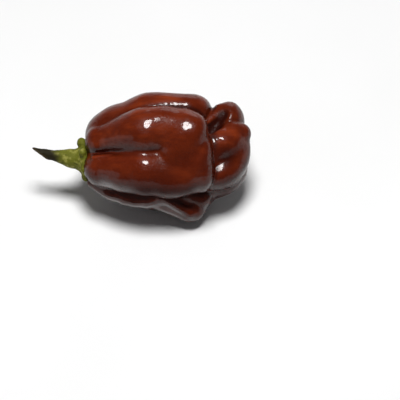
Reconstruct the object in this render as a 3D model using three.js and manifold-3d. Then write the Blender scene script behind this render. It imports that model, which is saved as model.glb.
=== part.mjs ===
import * as THREE from "three";
import { mergeVertices } from "three/addons/utils/BufferGeometryUtils.js";
import Module from "manifold-3d";

// A lobed chilli pepper lying on its side, in millimetres with +Z up. The pod grows along x from
// the calyx at x = 0 to the blossom end. Until it is rolled over, y points up across the front
// lobes and z points straight out of them.
const ROLL_DEGREES = 42;
const FLAT_SPOT_DEPTH = 0.4;
const FLAT_SPOT_SNAP = 0.15;
const CALYX_GAP = 0.3;

const POD_AROUND = 78;
const POD_ALONG = 72;
const POD_REACH = 34;
const POD_RAYS_FROM = [8, -1, -2];
const POD_RAYS_TO = [28, -2, -4];

const STEM_AROUND = 54;
const STEM_ALONG = 42;
const STEM_REACH = 18;
const STEM_RAYS_FROM = [-2.0, -1.9, 0];
const STEM_RAYS_TO = [-7.5, -1.0, 0.3];

// How wide the creases between the lobes are rounded.
const TIGHT = 0.5;
const CLOSE = 0.9;
const ROUND = 1.4;
const SOFT = 2.5;
const BROAD = 4.0;

// The groove between the two front lobes opens along the pod, and their edge sharpens.
const GROOVE = { from: 10, to: 25, startWidth: TIGHT, endWidth: 3.4 };
const FRONT_EDGE = { from: 0, to: 8, startWidth: SOFT, endWidth: CLOSE };

const CALYX_RADIUS = 4.7;
const CALYX_THICKNESS = 1.7;
const CALYX_MIDDLE = [0, -2.1, 0];
const TOOTH_COUNT = 6;
const TOOTH_RADII = [1.3, 1.45, 1.45];
const TOOTH_FIRST_DEGREES = 84;
const TOOTH_SETBACK = 0.3;
const TOOTH_LEAN = 0.14;
const TOOTH_SHRINK = 0.12;
const TOOTH_SIZES = 3;
const CUT_POINT = [-14.3, 0.56, 0];
const CUT_FACING = [-0.59, -0.8, 0.1];
const CUT_EDGE = 0.3;

const MARCH_STEPS = 260;
const MARCH_SHARE = 0.5;
const MERGE_WITHIN = 1e-5;
const LEAST_SLOPE = 1e-9;

function ease(share) {
  return share * share * (3 - 2 * share);
}

function widthAt(place, { from, to, startWidth, endWidth }) {
  const share = THREE.MathUtils.clamp((place - from) / (to - from), 0, 1);
  return THREE.MathUtils.lerp(startWidth, endWidth, ease(share));
}

// Two distances joined with a rounded crease of the given width.
function blend(a, b, width) {
  const near = Math.max(width - Math.abs(a - b), 0) / width;
  return Math.min(a, b) - (near * near * near * width) / 6;
}

// The first body with the second cut out of it, along an edge rounded by the given width.
function carve(a, b, width) {
  return -blend(-a, b, width);
}

// A long bulge of the pod wall, or a length of stalk: a rounded bar that tapers, swells and bows.
class Lobe {
  constructor(start, end, startRadius, endRadius, form = {}) {
    this.start = new THREE.Vector3(...start);
    this.startRadius = startRadius;
    this.endRadius = endRadius;
    const finish = new THREE.Vector3(...end);
    this.along = finish.clone().sub(this.start);
    this.length = this.along.length();
    this.along.divideScalar(this.length);
    const out = finish.add(this.start).setX(0);
    out.addScaledVector(this.along, -out.dot(this.along));
    this.out = out.normalize();
    this.side = this.along.clone().cross(this.out);
    Object.assign(this, { swell: 0, bow: 0, sway: 0, wide: 1, blunt: 1, nose: 1 }, form);
    this.offset = new THREE.Vector3();
  }

  distance(point) {
    const offset = this.offset.copy(point).sub(this.start);
    const travel = offset.dot(this.along);
    const share = THREE.MathUtils.clamp(travel / this.length, 0, 1);
    const hump = (4 * share * (1 - share)) ** 2;
    const out = offset.dot(this.out) - this.bow * hump;
    const side = (offset.dot(this.side) + this.sway * hump) / this.wide;
    const past = travel - share * this.length;
    const beyond = past * (past > 0 ? this.blunt : this.nose);
    const taper = this.startRadius + (this.endRadius - this.startRadius) * ease(share);
    return Math.hypot(out, side, beyond) - taper - this.swell * hump;
  }
}

// A rounded knob of the pod or the calyx: an ellipsoid turned about z.
class Knob {
  constructor(centre, radii, turnDegrees = 0) {
    this.centre = new THREE.Vector3(...centre);
    this.radii = new THREE.Vector3(...radii);
    this.turn = THREE.MathUtils.degToRad(-turnDegrees);
    this.axis = new THREE.Vector3(0, 0, 1);
    this.offset = new THREE.Vector3();
  }

  distance(point) {
    const offset = this.offset.copy(point).sub(this.centre);
    const share = offset.applyAxisAngle(this.axis, this.turn).divide(this.radii);
    const size = share.length();
    const slope = share.divide(this.radii).length() + LEAST_SLOPE;
    return (size * (size - 1)) / slope;
  }
}

// The two front lobes and the saddle that joins them towards the blossom end.
const frontUpper = new Lobe([4.6, 2.9, 4.2], [17.0, 5.3, 8.6], 4.5, 7.0, { bow: 0.3 });
const frontUpperWaist = new Lobe([17.0, 5.3, 8.6], [27.4, 5.0, 8.8], 7.0, 6.95, {
  swell: -0.2,
  bow: 0.25,
  sway: 0.8,
});
const frontUpperEnd = new Lobe([27.4, 5.0, 8.8], [29.2, 4.2, 8.7], 6.95, 6.9, { blunt: 1.4 });
const frontLower = new Lobe([5.0, -4.7, 4.4], [15.8, -5.5, 7.9], 5.2, 7.1, { bow: 0.6 });
const frontLowerEnd = new Lobe([18.0, -5.9, 7.9], [32.6, -5.4, 6.8], 7.1, 5.9, { blunt: 1.6 });
const frontBridge = new Lobe([26.0, 0, 9.4], [31.2, -2.0, 8.8], 5.6, 5.4, {
  wide: 1.2,
  blunt: 1.35,
});

// The lobes over the top, round the back and under the pod.
const upper = new Lobe([8.4, 5.2, -1.3], [30.9, 10.8, -1.8], 7.1, 5.4, {
  swell: 1.15,
  bow: 1.45,
  wide: 1.24,
  nose: 0.84,
  blunt: 1.1,
});
const upperShoulder = new Knob([10.2, 6.4, -1.2], [7.6, 7.1, 8.0], 8);
const back = new Lobe([7.0, 1.5, -6.0], [28.5, 3.4, -8.6], 5.4, 5.6, {
  swell: 0.8,
  bow: 1.9,
  sway: -1.4,
  wide: 1.4,
  blunt: 1.2,
});
const under = new Lobe([8.0, -5.0, -5.2], [32.0, -6.6, -7.7], 5.2, 5.6, {
  swell: 1.0,
  bow: 1.4,
  sway: 1.2,
  wide: 1.6,
  blunt: 1.2,
});
const middle = new Lobe([9.0, 0, 0.01], [33.0, 0, 0.01], 8.0, 9.0, { swell: 1.0, nose: 1.1 });
const shoulder = new Knob([5.0, -1.2, -0.5], [5.2, 8.4, 8.0]);

// The lower lobe with the ridge along its front, and the corner that juts out of it.
const lower = new Lobe([6.5, -7.0, -0.6], [20.0, -10.0, 0.2], 4.9, 5.1, { bow: 0.7, wide: 1.1 });
const lowerRidge = [
  new Lobe([1.6, -8.7, 0.8], [11.6, -13.4, 2.6], 0.9, 1.0, { bow: 0.8 }),
  new Lobe([11.6, -13.4, 2.6], [17.2, -13.9, 3.5], 1.0, 1.1, { bow: 0.35 }),
  new Lobe([17.2, -13.9, 3.5], [21.0, -12.9, 4.2], 1.1, 1.2),
];
const lowerCorner = new Lobe([19.5, -11.8, 0], [29.9, -16.5, -0.3], 3.8, 2.8);
const lowerCornerRidge = new Lobe([20.6, -12.7, 4.0], [28.4, -17.2, 1.9], 1.3, 1.6);
const lowerCornerFace = new Lobe([19.5, -12.6, 2.4], [28.2, -15.8, 1.2], 2.6, 2.4);
const lowerCornerEnd = new Lobe([35.0, -8.2, -4.5], [30.6, -16.2, -0.6], 4.2, 2.7);
const lowerHollow = new Lobe([21.0, -9.4, 2.6], [31.0, -12.0, 1.8], 4.2, 3.8);

// The puckered blossom end: the upper knob with its fold and valley, and the larger front one.
const tipUpper = new Knob([39.5, 8.2, -2.0], [5.1, 5.95, 6.0]);
const tipUpperFold = new Knob([34.7, 7.3, 1.0], [3.1, 5.4, 4.4], -20);
const tipUpperValley = new Lobe([36.9, 4.6, 6.0], [40.2, 12.6, 5.2], 3.0, 2.0);
const tipFront = new Knob([38.8, -0.8, 0.4], [7.45, 9.8, 6.4], -13.5);
const tipFrontRim = new Lobe([41.2, 5.5, 2.8], [43.3, 5.1, 1.4], 3.2, 3.2);
const tipFrontHigh = new Knob([37.2, 1.8, 3.6], [7.2, 4.7, 5.2], 22);
const tipFrontLow = new Knob([37.4, -6.2, 3.1], [6.5, 4.3, 5.1], 22);
const tipUnder = new Knob([36.2, -5.1, -3.0], [8.8, 7.4, 7.0], 20);
const tipBack = new Knob([36.0, 2.0, -4.0], [7.2, 8.0, 7.0]);

function frontDistance(point) {
  const upperEnd = blend(frontUpperWaist.distance(point), frontUpperEnd.distance(point), CLOSE);
  const high = blend(frontUpper.distance(point), upperEnd, CLOSE);
  const low = blend(frontLower.distance(point), frontLowerEnd.distance(point), SOFT);
  const pair = blend(high, low, widthAt(point.x, GROOVE));
  return blend(pair, frontBridge.distance(point), BROAD);
}

function lowerDistance(point) {
  let corner = blend(lowerCorner.distance(point), lowerCornerEnd.distance(point), SOFT);
  corner = blend(corner, lowerHollow.distance(point), SOFT);
  const edge = blend(lowerCornerRidge.distance(point), lowerCornerFace.distance(point), ROUND);
  let ridged = blend(corner, edge, SOFT);
  for (const length of lowerRidge) {
    ridged = blend(ridged, length.distance(point), ROUND);
  }
  return blend(lower.distance(point), ridged, SOFT);
}

function tipDistance(point) {
  const folded = blend(tipUpper.distance(point), tipUpperFold.distance(point), ROUND);
  const high = carve(folded, tipUpperValley.distance(point), ROUND);
  const bulges = blend(tipFrontHigh.distance(point), tipFrontLow.distance(point), CLOSE);
  let front = blend(tipFront.distance(point), bulges, SOFT);
  front = blend(front, tipFrontRim.distance(point), ROUND);
  let tip = blend(high, front, TIGHT);
  tip = blend(tip, tipUnder.distance(point), TIGHT);
  return blend(tip, tipBack.distance(point), CLOSE);
}

function podDistance(point) {
  const top = blend(upper.distance(point), upperShoulder.distance(point), ROUND);
  let pod = blend(lowerDistance(point), under.distance(point), CLOSE);
  pod = blend(pod, back.distance(point), CLOSE);
  pod = blend(pod, middle.distance(point), CLOSE);
  pod = blend(pod, top, CLOSE);
  pod = blend(pod, shoulder.distance(point), ROUND);
  pod = blend(pod, tipDistance(point), ROUND);
  return blend(pod, frontDistance(point), widthAt(point.x, FRONT_EDGE));
}

// The stalk with its dried end, the flare that widens into the calyx, and the calyx teeth.
const stalk = new Lobe([-3.4, -1.85, 0], [-10.8, -0.65, 0.4], 2.5, 1.25);
const dryEnd = new Lobe([-10.2, -0.75, 0.38], [-14.4, 0.35, 0.6], 1.3, 0.95);
const flare = new Lobe([0, -2.0, 0], [-3.6, -1.85, 0], 3.9, 2.5);
const calyx = new Knob(CALYX_MIDDLE, [CALYX_THICKNESS, CALYX_RADIUS, CALYX_RADIUS]);
const teeth = Array.from({ length: TOOTH_COUNT }, (_, index) => {
  const angle = (index / TOOTH_COUNT) * 2 * Math.PI + THREE.MathUtils.degToRad(TOOTH_FIRST_DEGREES);
  const rise = CALYX_RADIUS * Math.sin(angle);
  const centre = [
    CALYX_MIDDLE[0] - TOOTH_SETBACK - TOOTH_LEAN * rise,
    CALYX_MIDDLE[1] + rise,
    CALYX_MIDDLE[2] + CALYX_RADIUS * Math.cos(angle),
  ];
  const size = 1 - TOOTH_SHRINK * (index % TOOTH_SIZES);
  return new Knob(centre, TOOTH_RADII.map((radius) => radius * size));
});

const cutPoint = new THREE.Vector3(...CUT_POINT);
const cutFacing = new THREE.Vector3(...CUT_FACING).normalize();
const cutOffset = new THREE.Vector3();

// The space beyond the slanting cut of the stalk's end.
function beyondCut(point) {
  return -cutOffset.copy(point).sub(cutPoint).dot(cutFacing);
}

function stemDistance(point) {
  let stem = blend(stalk.distance(point), dryEnd.distance(point), CLOSE);
  stem = blend(stem, flare.distance(point), ROUND);
  stem = blend(stem, calyx.distance(point), ROUND);
  for (const tooth of teeth) {
    stem = blend(stem, tooth.distance(point), CLOSE);
  }
  stem = carve(stem, beyondCut(point), CUT_EDGE);
  return Math.max(stem, CALYX_GAP - podDistance(point));
}

// A ball whose points slide along their own rays until they meet the body's skin.
function grow(distance, around, along, reach, rayStart) {
  const ball = new THREE.SphereGeometry(1, around, along).rotateZ(-Math.PI / 2);
  ball.deleteAttribute("normal");
  ball.deleteAttribute("uv");
  const skin = mergeVertices(ball, MERGE_WITHIN);
  const places = skin.getAttribute("position");
  const ray = new THREE.Vector3();
  const point = new THREE.Vector3();
  for (let i = 0; i < places.count; i += 1) {
    ray.fromBufferAttribute(places, i).normalize();
    const start = rayStart(ray);
    let out = reach;
    for (let step = 0; step < MARCH_STEPS; step += 1) {
      point.copy(start).addScaledVector(ray, out);
      out -= MARCH_SHARE * distance(point);
    }
    places.setXYZ(i, point.x, point.y, point.z);
  }
  return skin.rotateX(THREE.MathUtils.degToRad(ROLL_DEGREES));
}

const solids = await Module();
solids.setup();

// The body's underside is sliced off level, a little above its lowest point.
function sliceLevel(geometry, height) {
  const places = geometry.getAttribute("position");
  for (let i = 0; i < places.count; i += 1) {
    if (Math.abs(places.getZ(i) - height) < FLAT_SPOT_SNAP) {
      places.setZ(i, height);
    }
  }
  const body = new solids.Mesh({
    numProp: 3,
    vertProperties: new Float32Array(places.array),
    triVerts: new Uint32Array(geometry.index.array),
  });
  const sliced = new solids.Manifold(body).trimByPlane([0, 0, 1], height).getMesh();
  return new THREE.BufferGeometry()
    .setAttribute("position", new THREE.BufferAttribute(sliced.vertProperties, 3))
    .setIndex(new THREE.BufferAttribute(sliced.triVerts, 1));
}

// The rays of the pod fan out from a line along its middle, and those of the stem from a line
// that runs from inside the calyx up the stalk.
function startBetween(from, to, share) {
  return new THREE.Vector3(...from).lerp(new THREE.Vector3(...to), share);
}

const podRayStart = (ray) => startBetween(POD_RAYS_FROM, POD_RAYS_TO, (1 + ray.x) / 2);
const stemRayStart = (ray) => startBetween(STEM_RAYS_FROM, STEM_RAYS_TO, Math.max(0, -ray.x) ** 2);

const wholePod = grow(podDistance, POD_AROUND, POD_ALONG, POD_REACH, podRayStart);
wholePod.computeBoundingBox();
const podGeometry = sliceLevel(wholePod, wholePod.boundingBox.min.z + FLAT_SPOT_DEPTH);
const stemGeometry = grow(stemDistance, STEM_AROUND, STEM_ALONG, STEM_REACH, stemRayStart);

const podSkin = new THREE.MeshStandardMaterial({
  color: "#6b2314",
  roughness: 0.24,
  metalness: 0,
});
const stemSkin = new THREE.MeshStandardMaterial({
  color: "#7d8a35",
  roughness: 0.62,
  metalness: 0,
});

const pod = new THREE.Mesh(podGeometry, podSkin);
pod.name = "pod";
const stem = new THREE.Mesh(stemGeometry, stemSkin);
stem.name = "stem";

const pepper = new THREE.Group();
pepper.name = "chilli_pepper";
pepper.add(pod, stem);

// The pepper stands with the middle of its outline over the origin and its flat spot at z = 0.
const box = new THREE.Box3().setFromObject(pepper);
const middleOfBox = box.getCenter(new THREE.Vector3());
for (const mesh of pepper.children) {
  mesh.geometry.translate(-middleOfBox.x, -middleOfBox.y, -box.min.z);
  mesh.geometry.computeVertexNormals();
}

export default pepper;
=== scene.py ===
"""A ripe brown chilli pepper on a pale floor: a glossy lobed pod and its short green stalk."""

import logging
import math
from dataclasses import dataclass
from enum import Enum
from functools import cache

import bpy
from mathutils import Matrix, Vector


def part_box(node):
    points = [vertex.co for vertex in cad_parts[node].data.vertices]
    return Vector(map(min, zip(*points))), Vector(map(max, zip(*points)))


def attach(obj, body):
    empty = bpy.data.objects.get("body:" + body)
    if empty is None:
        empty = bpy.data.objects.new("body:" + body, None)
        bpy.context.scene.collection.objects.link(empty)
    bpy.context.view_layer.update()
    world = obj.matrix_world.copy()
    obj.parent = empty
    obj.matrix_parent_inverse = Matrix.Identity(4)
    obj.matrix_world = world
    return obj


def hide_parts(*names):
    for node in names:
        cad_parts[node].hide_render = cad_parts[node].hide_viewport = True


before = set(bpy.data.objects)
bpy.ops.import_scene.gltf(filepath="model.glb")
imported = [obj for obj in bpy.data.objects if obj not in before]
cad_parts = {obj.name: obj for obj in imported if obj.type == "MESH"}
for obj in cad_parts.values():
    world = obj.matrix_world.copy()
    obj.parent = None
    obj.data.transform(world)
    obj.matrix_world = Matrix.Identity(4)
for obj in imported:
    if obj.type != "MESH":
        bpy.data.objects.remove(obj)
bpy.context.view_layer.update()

Socket = bpy.types.NodeSocket
Span = tuple[float, float]
Triple = tuple[float, float, float]
Colour = tuple[float, float, float, float]
Value = Socket | bpy.types.Material | Vector | Triple | Colour | float | int | str | bool

LOG = logging.getLogger("chilli_pepper")

# The pod is drawn in millimetres along its own axes: x from the calyx to the blossom end, y up
# across the front lobes and z straight out of them. It lies rolled back by this angle.
MILLIMETRE = 0.001
ROLL = math.radians(42.0)

# The least slope that a distance is divided by.
LEAST_SLOPE = 1e-6


class TreeKind(Enum):
    """The two kinds of node tree that the pepper uses."""

    GEOMETRY = "GeometryNodeTree"
    SHADER = "ShaderNodeTree"


class Kind(Enum):
    """What a named socket of a node group carries."""

    VALUE = "NodeSocketFloat"
    VECTOR = "NodeSocketVector"
    GEOMETRY = "NodeSocketGeometry"
    MATERIAL = "NodeSocketMaterial"


class Part(Enum):
    """The pepper's two pieces, by the name of their solid."""

    POD = "pod"
    STEM = "stem"


class Slot(Enum):
    """The record's material slots."""

    POD_SKIN = "pod_skin"
    STEM_GREEN = "stem_green"


class Mark(Enum):
    """Named values that the meshes carry for their finishes."""

    # Painted shade: the crease mark darkens hemmed-in skin of the pod.
    VALLEY = "valley"
    # Painted shade: the skyward mark darkens the pod's faces turned down; it also sets their coat.
    SKYWARD = "skyward"
    DULL = "dull"
    ALONG = "along"
    CUT = "cut"


class Crease(Enum):
    """How wide the crease between two lobes is rounded, in millimetres."""

    TIGHT = 0.5
    CLOSE = 0.9
    ROUND = 1.4
    SOFT = 2.5
    BROAD = 4.0


class Writer:
    """Writes one node tree: adds nodes, feeds their sockets and names the tree's own sockets."""

    def __init__(self, tree: bpy.types.NodeTree) -> None:
        """Starts writing into a tree.

        Args:
            tree: The geometry or shader tree to write.
        """
        self.tree = tree
        geometry = tree.bl_idname == TreeKind.GEOMETRY.value
        self.group_type = "GeometryNodeGroup" if geometry else "ShaderNodeGroup"
        self.entry_node: bpy.types.Node | None = None
        self.result_node: bpy.types.Node | None = None

    @classmethod
    def named(cls, name: str, kind: TreeKind) -> "Writer":
        """Starts a new named tree, for shapes or for finishes."""
        return cls(bpy.data.node_groups.new(name, kind.value))

    def feed(self, socket: Socket, value: Value) -> None:
        """Links a socket to another one, or sets its own value.

        Args:
            socket: The input to feed.
            value: An output socket, or a plain value.
        """
        if isinstance(value, Socket):
            self.tree.links.new(value, socket)
        else:
            socket.default_value = value

    def add(self, kind: str, inputs: dict[str | int, Value] | None = None, **settings) -> bpy.types.Node:
        """Adds a node.

        Args:
            kind: The node's type name.
            inputs: What feeds each input, by name or place.
            **settings: The node's own options.

        Returns:
            The node.
        """
        node = self.tree.nodes.new(kind)
        for name, setting in settings.items():
            setattr(node, name, setting)
        for name, value in (inputs or {}).items():
            self.feed(node.inputs[name], value)
        return node

    def group(self, tree: bpy.types.NodeTree, inputs: dict[str | int, Value]) -> bpy.types.Node:
        """Places another tree as a group node, with what feeds its named inputs."""
        return self.add(self.group_type, inputs, node_tree=tree)

    def entry(self, name: str, kind: Kind, default: Value | None = None) -> Socket:
        """Gives the tree a named input.

        Args:
            name: The input's name.
            kind: What it carries.
            default: Its value where nothing feeds it.

        Returns:
            The socket that brings it into the tree.
        """
        item = self.tree.interface.new_socket(name, in_out="INPUT", socket_type=kind.value)
        if default is not None:
            item.default_value = default
        if self.entry_node is None:
            self.entry_node = self.tree.nodes.new("NodeGroupInput")
        return self.entry_node.outputs[name]

    def entries(self, kind: Kind, *names: str) -> list[Socket]:
        """Gives the tree several named inputs of one kind."""
        return [self.entry(name, kind) for name in names]

    def result(self, name: str, kind: Kind, value: Socket) -> None:
        """Gives the tree a named output.

        Args:
            name: The output's name.
            kind: What it carries.
            value: The socket that it comes from.
        """
        self.tree.interface.new_socket(name, in_out="OUTPUT", socket_type=kind.value)
        if self.result_node is None:
            self.result_node = self.tree.nodes.new("NodeGroupOutput")
        self.tree.links.new(value, self.result_node.inputs[name])

    def math(self, operation: str, *values: Value, clamp: bool = False) -> Socket:
        """Adds one sum on plain values, held between 0 and 1 where it is clamped."""
        inputs = dict(enumerate(values))
        return self.add("ShaderNodeMath", inputs, operation=operation, use_clamp=clamp).outputs[0]

    def vector(self, operation: str, *values: Value) -> Socket:
        """Adds one sum on vectors, which gives a vector or, as for a length, a plain value."""
        node = self.add("ShaderNodeVectorMath", dict(enumerate(values)), operation=operation)
        return node.outputs["Value" if operation in ("DOT_PRODUCT", "LENGTH", "DISTANCE") else "Vector"]

    def scale(self, vector: Value, factor: Value) -> Socket:
        """Makes a vector so many times as long."""
        inputs = {"Vector": vector, "Scale": factor}
        return self.add("ShaderNodeVectorMath", inputs, operation="SCALE").outputs["Vector"]

    def split(self, vector: Value) -> tuple[Socket, Socket, Socket]:
        """Takes a vector apart into its x, y and z."""
        node = self.add("ShaderNodeSeparateXYZ", {"Vector": vector})
        return node.outputs["X"], node.outputs["Y"], node.outputs["Z"]

    def join(self, x: Value, y: Value, z: Value) -> Socket:
        """Puts a vector together from its x, y and z."""
        return self.add("ShaderNodeCombineXYZ", {"X": x, "Y": y, "Z": z}).outputs["Vector"]

    def ramp(self, value: Value, low: Value, high: Value, start: Value = 0.0, end: Value = 1.0) -> Socket:
        """Eases smoothly from one value to another.

        Args:
            value: What drives the change.
            low: Where the change begins.
            high: Where it is complete.
            start: The result at low.
            end: The result at high.

        Returns:
            The eased value.
        """
        inputs = {0: value, 1: low, 2: high, 3: start, 4: end}
        node = self.add("ShaderNodeMapRange", inputs, interpolation_type="SMOOTHSTEP")
        return node.outputs["Result"]

    def blend(self, first: Socket, second: Socket, crease: Crease | Socket) -> Socket:
        """Joins two bodies, known by their distances, with a rounded crease between them."""
        width = crease.value if isinstance(crease, Crease) else crease
        return self.math("SMOOTH_MIN", first, second, width)

    def carve(self, body: Socket, hollow: Socket, crease: Crease) -> Socket:
        """Cuts a hollow out of a body, both known by their distances, with a rounded edge."""
        return self.math("SMOOTH_MAX", body, self.math("MULTIPLY", hollow, -1.0), crease.value)

    def noise(self, place: Value, scale: Value, detail: float = 2.0, roughness: float = 0.5) -> Socket:
        """Adds soft noise about zero.

        Args:
            place: Where it is read.
            scale: How many bumps to a unit.
            detail: How many finer layers it has.
            roughness: How strong the finer layers are.

        Returns:
            Noise that runs from about -1 to 1.
        """
        inputs = {"Vector": place, "Scale": scale, "Detail": detail, "Roughness": roughness}
        height = self.add("ShaderNodeTexNoise", inputs).outputs["Fac"]
        return self.math("MULTIPLY_ADD", height, 2.0, -1.0)

    def mix(self, share: Value, first: Value, second: Value) -> Socket:
        """Mixes two colours.

        Args:
            share: How much of the second, from 0 to 1.
            first: The first colour.
            second: The second colour.

        Returns:
            The mixed colour.
        """
        node = self.add("ShaderNodeMix", data_type="RGBA")
        self.feed(node.inputs[0], share)
        self.feed(node.inputs[6], first)
        self.feed(node.inputs[7], second)
        return node.outputs[2]

    def position(self) -> Socket:
        """Reads where each point of a mesh is."""
        return self.add("GeometryNodeInputPosition").outputs["Position"]

    def normal(self) -> Socket:
        """Reads which way a mesh faces at each point."""
        return self.add("GeometryNodeInputNormal").outputs["Normal"]

    def change(self, kind: str, mesh: Socket, inputs: dict[str, Value] | None = None) -> Socket:
        """Passes a mesh through a node of some type, with what feeds its other inputs."""
        return self.add(kind, {"Geometry": mesh} | (inputs or {})).outputs["Geometry"]

    def shift(self, mesh: Socket, offset: Socket) -> Socket:
        """Moves each point of a mesh by its own offset."""
        return self.change("GeometryNodeSetPosition", mesh, {"Offset": offset})


@cache
def lobe_tree() -> bpy.types.NodeTree:
    """Makes the rule of a lobe: a rounded bar that tapers, swells, bows and sways.

    Returns:
        A tree that gives a point's distance from the lobe's skin.
    """
    write = Writer.named("Lobe distance", TreeKind.GEOMETRY)
    point, start, along, out, side = write.entries(Kind.VECTOR, "Point", "Start", "Along", "Out", "Side")
    length, start_radius, end_radius = write.entries(Kind.VALUE, "Length", "Start radius", "End radius")
    swell, bow, sway = write.entries(Kind.VALUE, "Swell", "Bow", "Sway")
    wide, nose, blunt = write.entries(Kind.VALUE, "Wide", "Nose", "Blunt")

    offset = write.vector("SUBTRACT", point, start)
    travel = write.vector("DOT_PRODUCT", offset, along)
    share = write.math("DIVIDE", travel, length, clamp=True)
    rest = write.math("SUBTRACT", 1.0, share)
    arch = write.math("MULTIPLY", write.math("MULTIPLY", share, rest), 4.0)
    hump = write.math("MULTIPLY", arch, arch)
    bowed = write.math("MULTIPLY", bow, hump)
    outward = write.math("SUBTRACT", write.vector("DOT_PRODUCT", offset, out), bowed)
    sideways = write.math("MULTIPLY_ADD", sway, hump, write.vector("DOT_PRODUCT", offset, side))
    past = write.math("SUBTRACT", travel, write.math("MULTIPLY", share, length))
    before = write.math("MULTIPLY", write.math("MINIMUM", past, 0.0), nose)
    beyond = write.math("MULTIPLY_ADD", write.math("MAXIMUM", past, 0.0), blunt, before)
    taper = write.ramp(travel, 0.0, length, start_radius, end_radius)
    radius = write.math("MULTIPLY_ADD", swell, hump, taper)
    reach = write.vector("LENGTH", write.join(outward, write.math("DIVIDE", sideways, wide), beyond))
    write.result("Distance", Kind.VALUE, write.math("SUBTRACT", reach, radius))
    return write.tree


@cache
def knob_tree() -> bpy.types.NodeTree:
    """Makes the rule of a knob: an ellipsoid turned about z.

    Returns:
        A tree that gives a point's distance from the knob's skin.
    """
    write = Writer.named("Knob distance", TreeKind.GEOMETRY)
    point, centre, radii = write.entries(Kind.VECTOR, "Point", "Centre", "Radii")
    turn = write.entry("Turn", Kind.VALUE)

    offset = write.vector("SUBTRACT", point, centre)
    inputs = {"Vector": offset, "Angle": write.math("MULTIPLY", turn, -1.0)}
    turned = write.add("ShaderNodeVectorRotate", inputs, rotation_type="Z_AXIS").outputs["Vector"]
    share = write.vector("DIVIDE", turned, radii)
    size = write.vector("LENGTH", share)
    slope = write.vector("LENGTH", write.vector("DIVIDE", share, radii))
    depth = write.math("MULTIPLY", size, write.math("SUBTRACT", size, 1.0))
    steep = write.math("MAXIMUM", slope, LEAST_SLOPE)
    write.result("Distance", Kind.VALUE, write.math("DIVIDE", depth, steep))
    return write.tree


@cache
def pucker_tree() -> bpy.types.NodeTree:
    """Makes the rule of a pucker: fine folds that fan out from a pit and die away.

    Returns:
        A tree that gives the folds' height at a point.
    """
    write = Writer.named("Pucker height", TreeKind.GEOMETRY)
    point, pit, side, up = write.entries(Kind.VECTOR, "Point", "Pit", "Side", "Up")
    reach, folds, height, drift = write.entries(Kind.VALUE, "Reach", "Folds", "Height", "Drift")
    bare, full, fade = write.entries(Kind.VALUE, "Bare middle", "Full height", "Fading share")

    arm = write.vector("SUBTRACT", point, pit)
    across = write.vector("DOT_PRODUCT", arm, side)
    upward = write.vector("DOT_PRODUCT", arm, up)
    heading = write.vector("NORMALIZE", write.join(across, upward, 0.0))
    away = write.vector("LENGTH", arm)
    change = write.join(0.0, 0.0, write.math("MULTIPLY", away, drift))
    ring = write.vector("ADD", write.scale(heading, folds), change)
    crests = write.noise(ring, 1.0, roughness=0.6)
    near = write.ramp(away, bare, full)
    far = write.ramp(away, write.math("MULTIPLY", reach, fade), reach, 1.0, 0.0)
    strength = write.math("MULTIPLY", write.math("MULTIPLY", near, far), height)
    write.result("Height", Kind.VALUE, write.math("MULTIPLY", crests, strength))
    return write.tree


@dataclass(frozen=True)
class Lobe:
    """A long bulge of the pod wall, or a length of stalk, in millimetres.

    Attributes:
        start: Where its middle line starts.
        end: Where its middle line ends.
        start_radius: Its radius at the start.
        end_radius: Its radius at the end.
        swell: How much thicker it is halfway.
        bow: How far it bends outwards halfway.
        sway: How far it bends sideways halfway.
        wide: How many times as wide as deep it is.
        nose: How many times flatter than round its start is.
        blunt: How many times flatter than round its end is.
    """

    start: Triple
    end: Triple
    start_radius: float
    end_radius: float
    swell: float = 0.0
    bow: float = 0.0
    sway: float = 0.0
    wide: float = 1.0
    nose: float = 1.0
    blunt: float = 1.0

    def distance(self, write: Writer, point: Value) -> Socket:
        """Places the lobe in a tree.

        Args:
            write: The tree's writer.
            point: Where the distance is read.

        Returns:
            The distance from the lobe's skin.
        """
        start, end = Vector(self.start), Vector(self.end)
        along = (end - start).normalized()
        out = Vector((0.0, start.y + end.y, start.z + end.z))
        out = (out - along * out.dot(along)).normalized()
        inputs = {
            "Point": point,
            "Start": start,
            "Along": along,
            "Out": out,
            "Side": along.cross(out),
            "Length": (end - start).length,
            "Start radius": self.start_radius,
            "End radius": self.end_radius,
            "Swell": self.swell,
            "Bow": self.bow,
            "Sway": self.sway,
            "Wide": self.wide,
            "Nose": self.nose,
            "Blunt": self.blunt,
        }
        return write.group(lobe_tree(), inputs).outputs["Distance"]


@dataclass(frozen=True)
class Knob:
    """A rounded knob of the pod or the calyx, in millimetres and degrees."""

    centre: Triple
    radii: Triple
    turn: float = 0.0

    def distance(self, write: Writer, point: Value) -> Socket:
        """Places the knob in a tree.

        Args:
            write: The tree's writer.
            point: Where the distance is read.

        Returns:
            The distance from the knob's skin.
        """
        turn = math.radians(self.turn)
        inputs = {"Point": point, "Centre": self.centre, "Radii": self.radii, "Turn": turn}
        return write.group(knob_tree(), inputs).outputs["Distance"]


def merge(write: Writer, point: Value, body: Socket, crease: Crease, *parts: Lobe | Knob) -> Socket:
    """Joins parts to a body one after another, with the same crease.

    Args:
        write: The tree's writer.
        point: Where the distance is read.
        body: The distance from the body.
        crease: How wide each crease is rounded.
        *parts: The parts that are joined to it.

    Returns:
        The distance from all of them together.
    """
    for part in parts:
        body = write.blend(body, part.distance(write, point), crease)
    return body


@dataclass(frozen=True)
class CreaseRun:
    """A crease whose width changes along the pod, in millimetres."""

    start: float
    end: float
    start_width: Crease
    end_width: Crease

    def width(self, write: Writer, along: Socket) -> Socket:
        """Reads the crease's width at a place along the pod."""
        return write.ramp(along, self.start, self.end, self.start_width.value, self.end_width.value)


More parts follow.
